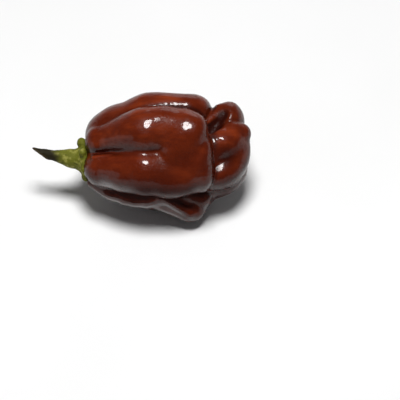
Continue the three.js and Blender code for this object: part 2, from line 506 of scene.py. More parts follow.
@dataclass(frozen=True)
class Pucker:
    """Fine folds that fan out from a pit in the skin, in millimetres."""

    pit: Triple
    reach: float
    folds: float
    height: float
    side: Triple = (1.0, 0.0, 0.0)
    up: Triple = (0.0, 1.0, 0.0)
    drift: float = 0.12
    bare_middle: float = 0.2
    full_height: float = 1.6
    fading_share: float = 0.3

    def relief(self, write: Writer, point: Value) -> Socket:
        """Places the pucker in a tree.

        Args:
            write: The tree's writer.
            point: Where the height is read.

        Returns:
            The height of the folds.
        """
        inputs = {
            "Point": point,
            "Pit": self.pit,
            "Side": self.side,
            "Up": self.up,
            "Reach": self.reach,
            "Folds": self.folds,
            "Height": self.height,
            "Drift": self.drift,
            "Bare middle": self.bare_middle,
            "Full height": self.full_height,
            "Fading share": self.fading_share,
        }
        return write.group(pucker_tree(), inputs).outputs["Height"]


@dataclass(frozen=True)
class Spot:
    """A soft round spot that raises the skin or a mask, and lowers it where its strength is below zero."""

    centre: Triple
    reach: float
    strength: float


def add_spots(write: Writer, point: Value, spots: tuple[Spot, ...], rest: Value) -> Value:
    """Adds spots to a height or to a mask.

    Args:
        write: The tree's writer.
        point: Where the value is read.
        spots: The spots, each of which fades away over its reach.
        rest: The value without them.

    Returns:
        The value with them.
    """
    total = rest
    for spot in spots:
        away = write.vector("DISTANCE", point, spot.centre)
        total = write.math("ADD", total, write.ramp(away, 0.0, spot.reach, spot.strength, 0.0))
    return total


@dataclass(frozen=True)
class Bounds:
    """The block of space that a skin is looked for in, in millimetres."""

    low: Triple
    high: Triple
    voxel: float
    settle_rounds: int = 3
    settle_share: float = 0.9

    def skin(self, write: Writer, rule: bpy.types.NodeTree) -> Socket:
        """Finds the skin where a distance is zero, and settles its points exactly on it.

        Args:
            write: The tree's writer.
            rule: A tree from Point to Distance.

        Returns:
            The skin's mesh.
        """
        distance = write.group(rule, {"Point": write.position()}).outputs["Distance"]
        inputs = {"Density": write.math("SUBTRACT", 1.0, distance), "Min": self.low, "Max": self.high}
        for axis, low, high in zip("XYZ", self.low, self.high):
            inputs[f"Resolution {axis}"] = round((high - low) / self.voxel) + 1
        block = write.add("GeometryNodeVolumeCube", inputs).outputs["Volume"]
        shell = write.add("GeometryNodeVolumeToMesh", {"Volume": block, "Threshold": 1.0})
        mesh = shell.outputs["Mesh"]
        normal = write.normal()
        for _ in range(self.settle_rounds):
            back = write.math("MULTIPLY", distance, -self.settle_share)
            mesh = write.shift(mesh, write.scale(normal, back))
        return mesh


def finish_skin(write: Writer, mesh: Socket, material: Value) -> Socket:
    """Ends a skin's tree: rolls it over, scales it to metres, smooths and dresses it.

    Args:
        write: The tree's writer.
        mesh: The skin in its own millimetres.
        material: Its finish.

    Returns:
        The finished mesh.
    """
    inputs = {"Rotation": (ROLL, 0.0, 0.0), "Scale": (MILLIMETRE,) * 3}
    mesh = write.change("GeometryNodeTransform", mesh, inputs)
    mesh = write.change("GeometryNodeSetShadeSmooth", mesh)
    mesh = write.change("GeometryNodeRealizeInstances", mesh)
    return write.change("GeometryNodeSetMaterial", mesh, {"Material": material})


def keep_mark(write: Writer, mesh: Socket, mark: Mark, value: Value) -> Socket:
    """Stores a named value on a mesh's points.

    Args:
        write: The tree's writer.
        mesh: The mesh.
        mark: The value's name.
        value: The value at each point.

    Returns:
        The mesh with the value.
    """
    return write.change("GeometryNodeStoreNamedAttribute", mesh, {"Name": mark.value, "Value": value})


def grow(name: str, tree: bpy.types.NodeTree, inputs: dict[str, Value]) -> bpy.types.Object:
    """Runs a shape tree and keeps its result as a plain mesh.

    Args:
        name: The piece's name.
        tree: The tree that makes it.
        inputs: What feeds its named inputs. The others keep the sizes that the tree has.

    Returns:
        The piece, with no modifier left on it.
    """
    seed = bpy.data.objects.new(name, bpy.data.meshes.new(f"{name}_seed"))
    bpy.context.scene.collection.objects.link(seed)
    modifier = seed.modifiers.new("shape", "NODES")
    modifier.node_group = tree
    for item in tree.interface.items_tree:
        if item.in_out == "INPUT" and item.name in inputs:
            modifier[item.identifier] = inputs[item.name]
    graph = bpy.context.evaluated_depsgraph_get()
    mesh = bpy.data.meshes.new_from_object(seed.evaluated_get(graph), depsgraph=graph)
    mesh.name = name
    seed.modifiers.remove(modifier)
    seed.data = mesh
    return seed


@dataclass
class Pod:
    """The lobed pod: its front, upper, back and lower lobes and its puckered blossom end."""

    space: Bounds = Bounds((-2.5, -20.5, -19.5), (47.5, 18.5, 18.5), 0.28)
    flat_spot_depth: float = 0.4

    # The two front lobes, with the groove between them and the folds in it.
    front_upper: Lobe = Lobe((4.6, 2.9, 4.2), (17.0, 5.3, 8.6), 4.5, 7.0, bow=0.3)
    front_upper_waist: Lobe = Lobe(
        (17.0, 5.3, 8.6), (27.4, 5.0, 8.8), 7.0, 6.95, swell=-0.2, bow=0.25, sway=0.8
    )
    front_upper_end: Lobe = Lobe((27.4, 5.0, 8.8), (29.2, 4.2, 8.7), 6.95, 6.9, blunt=1.4)
    front_lower: Lobe = Lobe((5.0, -4.6, 4.4), (15.8, -5.2, 8.3), 5.2, 6.6, bow=0.6)
    front_lower_end: Lobe = Lobe(
        (18.0, -5.5, 8.3), (32.6, -5.6, 6.8), 6.7, 5.9, bow=0.7, sway=-1.0, blunt=1.6
    )
    front_bridge: Lobe = Lobe((26.0, 0.0, 9.4), (31.2, -2.0, 8.8), 5.6, 5.4, wide=1.2, blunt=1.35)
    cleft_ridge: Lobe = Lobe((2.8, -1.9, 8.0), (12.8, -0.3, 9.0), 0.9, 0.8, bow=0.2)
    cleft_fold: Lobe = Lobe((2.4, -2.8, 7.9), (8.4, -2.9, 9.9), 0.5, 0.4)
    groove: CreaseRun = CreaseRun(4.5, 14.0, Crease.TIGHT, Crease.SOFT)
    front_edge: CreaseRun = CreaseRun(-1.0, 4.0, Crease.ROUND, Crease.TIGHT)

    # The lobes behind and below them, the jutting corner, the core and the shoulder.
    upper: Lobe = Lobe(
        (8.4, 5.2, -1.3), (30.9, 10.8, -1.8), 7.1, 5.4,
        swell=1.15, bow=1.45, wide=1.24, nose=0.84, blunt=1.1,
    )
    upper_ridge: Lobe = Lobe((17.8, 12.0, 2.0), (28.5, 12.0, 1.9), 4.1, 4.1, bow=0.3)
    upper_shoulder: Knob = Knob((10.2, 6.4, -1.2), (7.6, 7.1, 8.0), 8.0)
    back: Lobe = Lobe(
        (7.0, 1.5, -6.0), (28.5, 3.4, -8.6), 5.4, 5.6,
        swell=0.8, bow=1.9, sway=-1.4, wide=1.4, blunt=1.2,
    )
    under: Lobe = Lobe(
        (8.0, -5.0, -5.2), (32.0, -6.6, -7.7), 5.2, 5.6,
        swell=1.0, bow=1.4, sway=1.2, wide=1.6, blunt=1.2,
    )
    lower: Lobe = Lobe((6.5, -7.0, -0.6), (20.0, -10.0, 0.2), 4.9, 5.1, bow=0.7, wide=1.1)
    lower_ridge: tuple[Lobe, ...] = (
        Lobe((1.8, -8.6, 0.6), (11.4, -12.8, 2.2), 1.15, 2.0, bow=0.8),
        Lobe((11.4, -12.8, 2.2), (17.2, -13.6, 2.7), 2.0, 2.05, bow=0.35),
        Lobe((17.2, -13.6, 2.7), (21.0, -13.0, 3.6), 2.05, 1.6),
    )
    lower_corner: Lobe = Lobe((19.5, -11.8, 0.0), (29.9, -16.5, -0.3), 3.8, 2.8)
    lower_corner_ridge: Lobe = Lobe((21.2, -12.6, 4.4), (29.3, -17.0, 2.2), 1.1, 1.3)
    lower_corner_face: Lobe = Lobe((19.5, -13.6, 2.0), (28.2, -17.6, 0.8), 1.9, 1.6)
    lower_corner_end: Lobe = Lobe((35.0, -8.2, -4.5), (30.6, -16.2, -0.6), 4.2, 2.7)
    lower_hollow: Lobe = Lobe((21.0, -9.4, 1.8), (32.0, -12.4, 0.2), 4.0, 3.6)
    middle: Lobe = Lobe((9.0, 0.0, 0.01), (33.0, 0.0, 0.01), 8.0, 9.0, swell=1.0, nose=1.1)
    shoulder: Knob = Knob((5.0, -1.2, -0.5), (5.2, 8.4, 8.0))

    # The bulbs of the blossom end.
    tip_upper: Knob = Knob((40.3, 8.3, -2.0), (4.4, 5.85, 6.0))
    tip_upper_fold: Lobe = Lobe((34.1, 6.7, 2.2), (37.5, 11.6, -0.3), 1.9, 1.65, bow=0.2)
    tip_upper_valley: Lobe = Lobe((34.3, 4.4, 5.0), (38.9, 11.2, 4.2), 1.9, 1.7)
    tip_front: Knob = Knob((38.8, -0.8, 0.4), (7.45, 9.8, 6.4), -13.5)
    tip_front_rim: Lobe = Lobe((41.2, 5.5, 2.8), (43.3, 5.1, 1.4), 3.2, 3.2)
    tip_front_high: Knob = Knob((37.2, 1.8, 3.6), (7.2, 4.7, 5.2), 22.0)
    tip_front_low: Knob = Knob((37.4, -6.2, 3.1), (6.5, 4.3, 5.1), 22.0)
    tip_under: Knob = Knob((36.6, -5.4, -3.0), (9.2, 7.4, 7.0), 20.0)
    tip_back: Knob = Knob((36.0, 2.0, -4.0), (7.2, 8.0, 7.0))

    # The relief of the skin.
    puckers: tuple[Pucker, ...] = (
        Pucker((35.0, 5.2, 4.0), 12.0, 3.2, 0.16),
        Pucker((36.6, -10.4, 3.0), 9.0, 4.2, 0.22),
        Pucker((4.2, -1.2, 8.4), 7.0, 3.6, 0.14),
        Pucker((-0.5, -2.0, 0.0), 11.0, 3.4, 0.12, side=(0.0, 1.0, 0.0), up=(0.0, 0.0, 1.0)),
    )
    swellings: tuple[Spot, ...] = (
        Spot((16.2, 7.3, 15.0), 3.8, -0.22),
        Spot((28.2, 7.4, 15.2), 3.6, -0.26),
        Spot((31.0, 7.0, 14.0), 6.5, 0.7),
        Spot((22.4, 6.0, 15.6), 5.6, -0.42),
        Spot((36.9, 2.2, 8.7), 3.0, -0.16),
    )
    unevenness: float = 0.16
    uneven_scale: float = 0.17
    pebble: float = 0.036
    pebble_scale: float = 1.0
    streak: float = 0.03
    streak_scale: float = 0.75
    streak_stretch: Triple = (0.14, 1.0, 1.0)

    # Where its finish is duller or shinier than elsewhere, and where painted shade darkens it.
    dull_spots: tuple[Spot, ...] = (
        Spot((22.6, 8.6, 15.2), 4.6, 1.25),
        Spot((20.8, -2.6, 14.6), 3.6, 1.2),
        Spot((18.4, -0.7, 12.4), 3.0, 1.2),
        Spot((38.6, 10.6, 3.4), 5.0, 0.9),
        Spot((37.2, 10.4, 2.6), 2.4, 0.6),
        Spot((20.4, 13.3, 6.0), 2.6, 1.0),
        Spot((41.4, 0.0, 5.6), 5.0, 0.8),
        Spot((36.4, -4.9, 8.2), 2.4, 0.9),
        Spot((36.9, 7.4, 3.2), 2.8, 1.0),
        Spot((15.5, -10.6, 12.2), 4.8, 0.9),
        Spot((19.6, -10.8, 12.4), 4.8, 0.9),
        Spot((24.0, -10.6, 12.0), 4.8, 0.9),
        Spot((28.6, -10.0, 10.8), 5.0, 0.9),
        Spot((40.0, -9.0, 2.0), 9.0, 0.9),
    )
    shiny_spots: tuple[Spot, ...] = (
        Spot((34.6, 13.2, 0.0), 3.5, -1.5),
        Spot((7.6, -8.4, 7.6), 5.0, -1.0),
        Spot((8.0, -12.2, 3.0), 6.5, -1.6),
        Spot((16.0, -14.4, 3.6), 6.5, -1.6),
        Spot((24.0, -16.2, 2.4), 6.0, -1.4),
    )
    # Painted shade: spots that add to the crease mark and darken the blossom end's fold, valley and bulbs,
    # the jutting corner and a few patches of the lobes.
    painted_shade_spots: tuple[Spot, ...] = (
        Spot((35.6, 5.9, 3.4), 2.4, 0.8),
        Spot((36.9, 7.8, 3.0), 2.6, 0.7),
        Spot((38.4, 10.2, 2.8), 2.6, 0.8),
        Spot((39.8, -1.9, 7.0), 5.0, 0.9),
        Spot((40.5, 9.5, 2.5), 6.0, 0.55),
        Spot((8.6, 9.4, 5.4), 8.0, 0.45),
        Spot((21.8, -4.8, 14.8), 5.5, 0.4),
        Spot((28.5, -16.4, 2.5), 5.5, 0.35),
    )

    # How far out a valley is looked for, the share of that which is clear in a deep one, and the least
    # upward turn of a face that sees the sky. The first two place the painted crease shade, the last the
    # painted shade on faces turned down.
    valley_look_out: float = 3.0
    valley_full: float = 0.3
    skyward_from: float = -0.2

    def front(self, write: Writer, point: Socket, along: Socket) -> Socket:
        """Joins the two front lobes and the folds beside the groove between them.

        Args:
            write: The tree's writer.
            point: Where the distance is read.
            along: The point's place along the pod.

        Returns:
            The distance from the front lobes.
        """
        high = self.front_upper_waist.distance(write, point)
        high = merge(write, point, high, Crease.CLOSE, self.front_upper_end, self.front_upper)
        low = self.front_lower.distance(write, point)
        low = merge(write, point, low, Crease.SOFT, self.front_lower_end)
        low = merge(write, point, low, Crease.CLOSE, self.cleft_ridge, self.cleft_fold)
        pair = write.blend(high, low, self.groove.width(write, along))
        return merge(write, point, pair, Crease.BROAD, self.front_bridge)

    def underside(self, write: Writer, point: Socket) -> Socket:
        """Joins the lower lobe, its ridge and the corner that juts out of it.

        Args:
            write: The tree's writer.
            point: Where the distance is read.

        Returns:
            The distance from the lower lobe.
        """
        corner = self.lower_corner.distance(write, point)
        corner = merge(write, point, corner, Crease.SOFT, self.lower_corner_end, self.lower_hollow)
        edge = self.lower_corner_ridge.distance(write, point)
        edge = merge(write, point, edge, Crease.ROUND, self.lower_corner_face)
        ridged = write.blend(corner, edge, Crease.SOFT)
        ridged = merge(write, point, ridged, Crease.ROUND, *self.lower_ridge)
        return merge(write, point, ridged, Crease.SOFT, self.lower)

    def blossom_end(self, write: Writer, point: Socket) -> Socket:
        """Joins the knobs of the blossom end.

        Args:
            write: The tree's writer.
            point: Where the distance is read.

        Returns:
            The distance from the blossom end.
        """
        high = self.tip_upper.distance(write, point)
        high = merge(write, point, high, Crease.SOFT, self.tip_upper_fold)
        face = self.tip_front_high.distance(write, point)
        face = merge(write, point, face, Crease.CLOSE, self.tip_front_low)
        face = merge(write, point, face, Crease.SOFT, self.tip_front)
        face = merge(write, point, face, Crease.ROUND, self.tip_front_rim)
        tip = write.blend(high, face, Crease.TIGHT)
        tip = merge(write, point, tip, Crease.TIGHT, self.tip_under)
        return merge(write, point, tip, Crease.CLOSE, self.tip_back)

    def rule(self) -> bpy.types.NodeTree:
        """Makes the pod's whole rule.

        Returns:
            A tree from Point to Distance.
        """
        write = Writer.named("Pod distance", TreeKind.GEOMETRY)
        point = write.entry("Point", Kind.VECTOR)
        along = write.split(point)[0]
        pod = self.underside(write, point)
        pod = merge(write, point, pod, Crease.CLOSE, self.under, self.back, self.middle)
        upper = self.upper.distance(write, point)
        upper = merge(write, point, upper, Crease.ROUND, self.upper_shoulder)
        upper = merge(write, point, upper, Crease.SOFT, self.upper_ridge)
        pod = write.blend(pod, upper, Crease.CLOSE)
        pod = merge(write, point, pod, Crease.ROUND, self.shoulder)
        pod = write.blend(pod, self.blossom_end(write, point), Crease.ROUND)
        pod = write.carve(pod, self.tip_upper_valley.distance(write, point), Crease.ROUND)
        pod = write.blend(pod, self.front(write, point, along), self.front_edge.width(write, along))
        write.result("Distance", Kind.VALUE, pod)
        return write.tree

    def relief(self, write: Writer, place: Socket) -> Value:
        """Adds up the skin's unevenness, pebbles, streaks, puckers and swellings.

        Args:
            write: The tree's writer.
            place: Where the height is read.

        Returns:
            The height that the skin stands out by.
        """
        uneven = write.entry("Unevenness", Kind.VALUE, self.unevenness)
        pebble = write.entry("Pebble height", Kind.VALUE, self.pebble)
        streak = write.entry("Streak height", Kind.VALUE, self.streak)
        height = write.math("MULTIPLY", write.noise(place, self.uneven_scale, detail=1.0), uneven)
        pebbles = write.noise(place, self.pebble_scale, roughness=0.6)
        height = write.math("MULTIPLY_ADD", pebbles, pebble, height)
        drawn_out = write.vector("MULTIPLY", place, self.streak_stretch)
        height = write.math("MULTIPLY_ADD", write.noise(drawn_out, self.streak_scale), streak, height)
        for pucker in self.puckers:
            height = write.math("ADD", height, pucker.relief(write, place))
        return add_spots(write, place, self.swellings, height)

    def shape(self, rule: bpy.types.NodeTree) -> bpy.types.NodeTree:
        """Makes the tree that grows the pod's skin.

        Args:
            rule: The pod's rule.

        Returns:
            The tree, with its sizes and material as named inputs.
        """
        write = Writer.named("Pod skin", TreeKind.GEOMETRY)
        material = write.entry("Material", Kind.MATERIAL)
        depth = write.entry("Flat spot depth", Kind.VALUE, self.flat_spot_depth)
        mesh = self.space.skin(write, rule)
        place, normal = write.position(), write.normal()
        outside = write.vector("ADD", place, write.scale(normal, self.valley_look_out))
        clear = write.group(rule, {"Point": outside}).outputs["Distance"]
        # Painted shade: skin that is hemmed in, where the rule is close one look-out out along the normal,
        # is marked for a darker colour, and the shade spots add to it.
        valley = write.ramp(clear, self.valley_look_out, self.valley_full * self.valley_look_out)
        mesh = keep_mark(write, mesh, Mark.VALLEY, add_spots(write, place, self.painted_shade_spots, valley))
        # Painted shade: faces turned down from the sky are marked, and the skin's colour darkens on them;
        # the same mark also sets the coat and the specks.
        upward = (0.0, math.sin(ROLL), math.cos(ROLL))
        skyward = write.ramp(write.vector("DOT_PRODUCT", normal, upward), self.skyward_from, 1.0)
        mesh = keep_mark(write, mesh, Mark.SKYWARD, skyward)
        dull = add_spots(write, place, self.dull_spots + self.shiny_spots, 0.0)
        mesh = keep_mark(write, mesh, Mark.DULL, dull)
        mesh = write.shift(mesh, write.scale(normal, self.relief(write, place)))
        mesh = self.flatten(write, mesh, depth)
        write.result("Mesh", Kind.GEOMETRY, finish_skin(write, mesh, material))
        return write.tree

    def flatten(self, write: Writer, mesh: Socket, depth: Socket) -> Socket:
        """Presses the lowest part of the skin level, where the pod lies on the surface.

        Args:
            write: The tree's writer.
            mesh: The skin.
            depth: How much of it is pressed flat.

        Returns:
            The pressed skin.
        """
        down = (0.0, -math.sin(ROLL), -math.cos(ROLL))
        fall = write.vector("DOT_PRODUCT", write.position(), down)
        falls = write.add("GeometryNodeAttributeStatistic", {"Geometry": mesh, "Attribute": fall})
        level = write.math("SUBTRACT", falls.outputs["Max"], depth)
        excess = write.math("MAXIMUM", write.math("SUBTRACT", fall, level), 0.0)
        return write.shift(mesh, write.scale(down, write.math("MULTIPLY", excess, -1.0)))

    def build(self, rule: bpy.types.NodeTree, skin: bpy.types.Material) -> bpy.types.Object:
        """Grows the pod from its rule, in metres about its own origin."""
        return grow("chilli_pod", self.shape(rule), {"Material": skin})


@dataclass
class Stem:
    """The stalk with its dried, slanting end, and the calyx with its teeth."""

    space: Bounds = Bounds((-15.5, -10.0, -7.5), (3.5, 5.5, 7.5), 0.13)
    seat_gap: float = 0.04

    # The stalk, its dried end, its flare and the cap of the calyx.
    stalk: Lobe = Lobe((-3.4, -1.85, 0.0), (-10.8, -0.65, 0.4), 2.5, 1.25)
    dry_end: Lobe = Lobe((-10.2, -0.75, 0.38), (-14.4, 0.35, 0.6), 1.3, 0.95)
    flare: Lobe = Lobe((0.0, -2.0, 0.0), (-3.6, -1.85, 0.0), 3.9, 2.5)
    calyx: Knob = Knob((0.0, -2.1, 0.0), (1.7, 4.7, 4.7))

    # The slanting cut of the dried end, and how deep below it the bare wood begins and is full.
    cut_point: Triple = (-14.3, 0.56, 0.0)
    cut_facing: Triple = (-0.59, -0.8, 0.1)
    cut_edge: float = 0.3
    cut_band: Span = (-0.5, -0.1)

    # The calyx teeth, set on a leaning ring in turns of three sizes.
    tooth_count: int = 6
    tooth_ring: float = 4.7
    tooth_first: float = 84.0
    tooth_lean: float = -0.14
    tooth_back: float = 0.3
    tooth_radii: Triple = (1.3, 1.45, 1.45)
    tooth_sizes: Triple = (1.0, 0.88, 0.76)

    # Long ribs, warts, and the shrivelled skin with where along the stalk it begins and is full.
    rib: float = 0.14
    rib_scale: float = 0.7
    rib_stretch: Triple = (0.1, 1.0, 1.0)
    wart: float = 0.1
    wart_scale: float = 0.8
    shrivel: float = 0.09
    shrivel_scale: float = 1.6
    shrivel_run: Span = (-7.0, -11.0)

    def teeth(self) -> list[Knob]:
        """Sets the calyx teeth round the stalk.

        Returns:
            The teeth.
        """
        middle = Vector(self.calyx.centre)
        teeth = []
        for number in range(self.tooth_count):
            angle = math.radians(self.tooth_first + 360.0 * number / self.tooth_count)
            rise, out = self.tooth_ring * math.sin(angle), self.tooth_ring * math.cos(angle)
            size = self.tooth_sizes[number % len(self.tooth_sizes)]
            lean = middle.x - self.tooth_back + self.tooth_lean * rise
            radii = tuple(radius * size for radius in self.tooth_radii)
            teeth.append(Knob((lean, middle.y + rise, middle.z + out), radii))
        return teeth

    def cut_distance(self, write: Writer, point: Socket) -> Socket:
        """Measures how far a point is beyond the slanting cut of the stalk's end.

        Args:
            write: The tree's writer.
            point: Where it is read.

        Returns:
            The distance, positive outside.
        """
        facing = Vector(self.cut_facing).normalized()
        offset = write.vector("SUBTRACT", point, self.cut_point)
        return write.vector("DOT_PRODUCT", offset, facing)

    def rule(self, pod_rule: bpy.types.NodeTree) -> bpy.types.NodeTree:
        """Makes the stem's whole rule.

        Args:
            pod_rule: The pod's rule, for the seat under the calyx.

        Returns:
            A tree from Point to Distance.
        """
        write = Writer.named("Stem distance", TreeKind.GEOMETRY)
        point = write.entry("Point", Kind.VECTOR)
        stem = self.stalk.distance(write, point)
        stem = merge(write, point, stem, Crease.CLOSE, self.dry_end)
        stem = merge(write, point, stem, Crease.ROUND, self.flare, self.calyx)
        stem = merge(write, point, stem, Crease.CLOSE, *self.teeth())
        stem = write.math("SMOOTH_MAX", stem, self.cut_distance(write, point), self.cut_edge)
        pod = write.group(pod_rule, {"Point": point}).outputs["Distance"]
        stem = write.math("MAXIMUM", stem, write.math("SUBTRACT", self.seat_gap, pod))
        write.result("Distance", Kind.VALUE, stem)
        return write.tree

    def shape(self, rule: bpy.types.NodeTree) -> bpy.types.NodeTree:
        """Makes the tree that grows the stem's skin.

        Args:
            rule: The stem's rule.

        Returns:
            The tree, with its sizes and material as named inputs.
        """
        write = Writer.named("Stem skin", TreeKind.GEOMETRY)
        material = write.entry("Material", Kind.MATERIAL)
        rib = write.entry("Rib height", Kind.VALUE, self.rib)
        wart = write.entry("Wart height", Kind.VALUE, self.wart)
        mesh = self.space.skin(write, rule)
        place, normal = write.position(), write.normal()
        along = write.split(place)[0]
        mesh = keep_mark(write, mesh, Mark.ALONG, along)
        cut = write.ramp(self.cut_distance(write, place), *self.cut_band)
        mesh = keep_mark(write, mesh, Mark.CUT, cut)
        drawn_out = write.vector("MULTIPLY", place, self.rib_stretch)
        height = write.math("MULTIPLY", write.noise(drawn_out, self.rib_scale), rib)
        height = write.math("MULTIPLY_ADD", write.noise(place, self.wart_scale), wart, height)
        shrivel = write.ramp(along, *self.shrivel_run, 0.0, self.shrivel)
        height = write.math("MULTIPLY_ADD", write.noise(place, self.shrivel_scale), shrivel, height)
        mesh = write.shift(mesh, write.scale(normal, height))
        write.result("Mesh", Kind.GEOMETRY, finish_skin(write, mesh, material))
        return write.tree

    def build(self, rule: bpy.types.NodeTree, skin: bpy.types.Material) -> bpy.types.Object:
        """Grows the stem from its rule, in metres about the pod's own origin."""
        return grow("chilli_stem", self.shape(rule), {"Material": skin})


@cache
def mottle_tree() -> bpy.types.NodeTree:
    """Makes the soft blotches that all the finishes have.

    Returns:
        A shader tree that gives a mask over the surface.
    """
    write = Writer.named("Mottle", TreeKind.SHADER)
    place = write.entry("Place", Kind.VECTOR)
    scale, low, high = write.entries(Kind.VALUE, "Scale", "Low", "High")
    blotches = write.noise(place, scale, detail=3.0, roughness=0.55)
    write.result("Mask", Kind.VALUE, write.ramp(blotches, low, high))
    return write.tree


@cache
def pitted_tree() -> bpy.types.NodeTree:
    """Makes the fine pitting that both skins have.

    Returns:
        A shader tree that gives a height over the surface.
    """
    write = Writer.named("Fine pits", TreeKind.SHADER)
    place = write.entry("Place", Kind.VECTOR)
    scale = write.entry("Scale", Kind.VALUE)
    write.result("Height", Kind.VALUE, write.noise(place, scale, roughness=0.6))
    return write.tree


@dataclass(frozen=True)
class Mottle:
    """Soft blotches: how many to a millimetre, and between which heights of their noise they grow."""

    scale: float
    low: float
    high: float

    def mask(self, write: Writer, place: Socket) -> Socket:
        """Places the blotches in a material and reads them over its surface."""
        inputs = {"Place": place, "Scale": self.scale, "Low": self.low, "High": self.high}
        return write.group(mottle_tree(), inputs).outputs["Mask"]


class Finish:
    """What the finishes share: a material with a place in millimetres and one shader."""

    def start(self, name: str) -> tuple[bpy.types.Material, Writer, bpy.types.Node, Socket]:
        """Starts a material.

        Args:
            name: The material's name.

        Returns:
            The material, its writer, its shader and the place on the surface in millimetres.
        """
        material = bpy.data.materials.new(name)
        material.use_nodes = True
        write = Writer(material.node_tree)
        shader = material.node_tree.nodes["Principled BSDF"]
        metres = write.add("ShaderNodeTexCoord").outputs["Object"]
        inputs = {"Vector": metres, "Scale": (1.0 / MILLIMETRE,) * 3}
        place = write.add("ShaderNodeMapping", inputs).outputs["Vector"]
        return material, write, shader, place

    def mark(self, write: Writer, mark: Mark) -> Socket:
        """Reads a named value of the mesh over its surface."""
        return write.add("ShaderNodeAttribute", attribute_name=mark.value).outputs["Fac"]

    def pitted(self, write: Writer, place: Socket, scale: float, depth: float) -> Socket:
        """Covers the surface with fine pits.

        Args:
            write: The material's writer.
            place: The place on the surface.
            scale: How many pits to a millimetre.
            depth: How deep they are, in metres.

        Returns:
            The way that the pitted surface faces.
        """
        pits = write.group(pitted_tree(), {"Place": place, "Scale": scale})
        inputs = {"Height": pits.outputs["Height"], "Distance": depth, "Strength": 1.0}
        return write.add("ShaderNodeBump", inputs).outputs["Normal"]

    def dress(self, write: Writer, shader: bpy.types.Node, inputs: dict[str, Value]) -> None:
        """Feeds the shader's own sockets, by name."""
        for name, value in inputs.items():
            write.feed(shader.inputs[name], value)


@dataclass(frozen=True)
class PodSkin(Finish):
    """Glossy chocolate-brown pod skin with redder streaks, and painted shade that darkens its creases and
    its faces turned down.
    """

    crest: Colour = (0.2, 0.0265, 0.0045, 1.0)
    flesh: Colour = (0.1, 0.0108, 0.0018, 1.0)
    # Painted shade: the colour that faces turned down are mixed towards.
    shade: Colour = (0.028, 0.0032, 0.0012, 1.0)
    # Painted crease shade: the colour that hemmed-in skin and the shade spots are mixed towards, and its
    # greatest share.
    crease: Colour = (0.024, 0.0028, 0.0012, 1.0)
    crease_shade_share: float = 0.85
    streaks: Mottle = Mottle(0.42, -0.35, 0.4)
    streak_stretch: Triple = (0.22, 1.0, 1.0)
    patches: Mottle = Mottle(0.11, -0.4, 0.4)
    roughness: Span = (0.26, 0.36)
    soft_shine: float = 0.07
    coat: float = 0.27
    under_coat: float = 0.55
    coat_facing: Span = (0.02, 0.22)
    coat_ior: float = 1.8
    coat_roughness: float = 0.085
    specks: Mottle = Mottle(1.5, 0.0, 0.3)
    speck_facing: Span = (0.1, 0.5)
    speck_gloss: float = 0.45
    pit_scale: float = 2.4
    pit_depth: float = 0.00005

    def material(self) -> bpy.types.Material:
        """Makes the finish.

        Returns:
            The pod's material.
        """
        material, write, shader, place = self.start(Slot.POD_SKIN.value)
        drawn_out = write.vector("MULTIPLY", place, self.streak_stretch)
        patches = self.patches.mask(write, place)
        glow = write.math("MULTIPLY", self.streaks.mask(write, drawn_out), patches)
        colour = write.mix(glow, self.flesh, self.crest)
        skyward = self.mark(write, Mark.SKYWARD)
        # Painted shade: faces turned down from the sky are mixed towards the shade colour.
        colour = write.mix(write.math("SUBTRACT", 1.0, skyward), colour, self.shade)
        # Painted crease shade: hemmed-in skin and the shade spots are mixed towards the crease colour.
        crease_shading = write.math("MULTIPLY", self.mark(write, Mark.VALLEY), self.crease_shade_share, clamp=True)
        colour = write.mix(crease_shading, colour, self.crease)
        gloss = write.math("MAXIMUM", write.math("SUBTRACT", 1.0, self.mark(write, Mark.DULL)), 0.0)
        facing = write.ramp(skyward, *self.speck_facing)
        specks = write.math("MULTIPLY", self.specks.mask(write, place), facing)
        gloss = write.math("MULTIPLY", gloss, write.ramp(specks, 0.0, 1.0, 1.0, self.speck_gloss))
        coat = write.ramp(skyward, *self.coat_facing, self.under_coat, self.coat)
        inputs = {
            "Base Color": colour,
            "Roughness": write.ramp(patches, 0.0, 1.0, *self.roughness),
            "Normal": self.pitted(write, place, self.pit_scale, self.pit_depth),
            "Specular IOR Level": self.soft_shine,
            "Coat Weight": write.math("MULTIPLY", gloss, coat),
            "Coat Roughness": self.coat_roughness,
            "Coat IOR": self.coat_ior,
        }
        self.dress(write, shader, inputs)
        return material


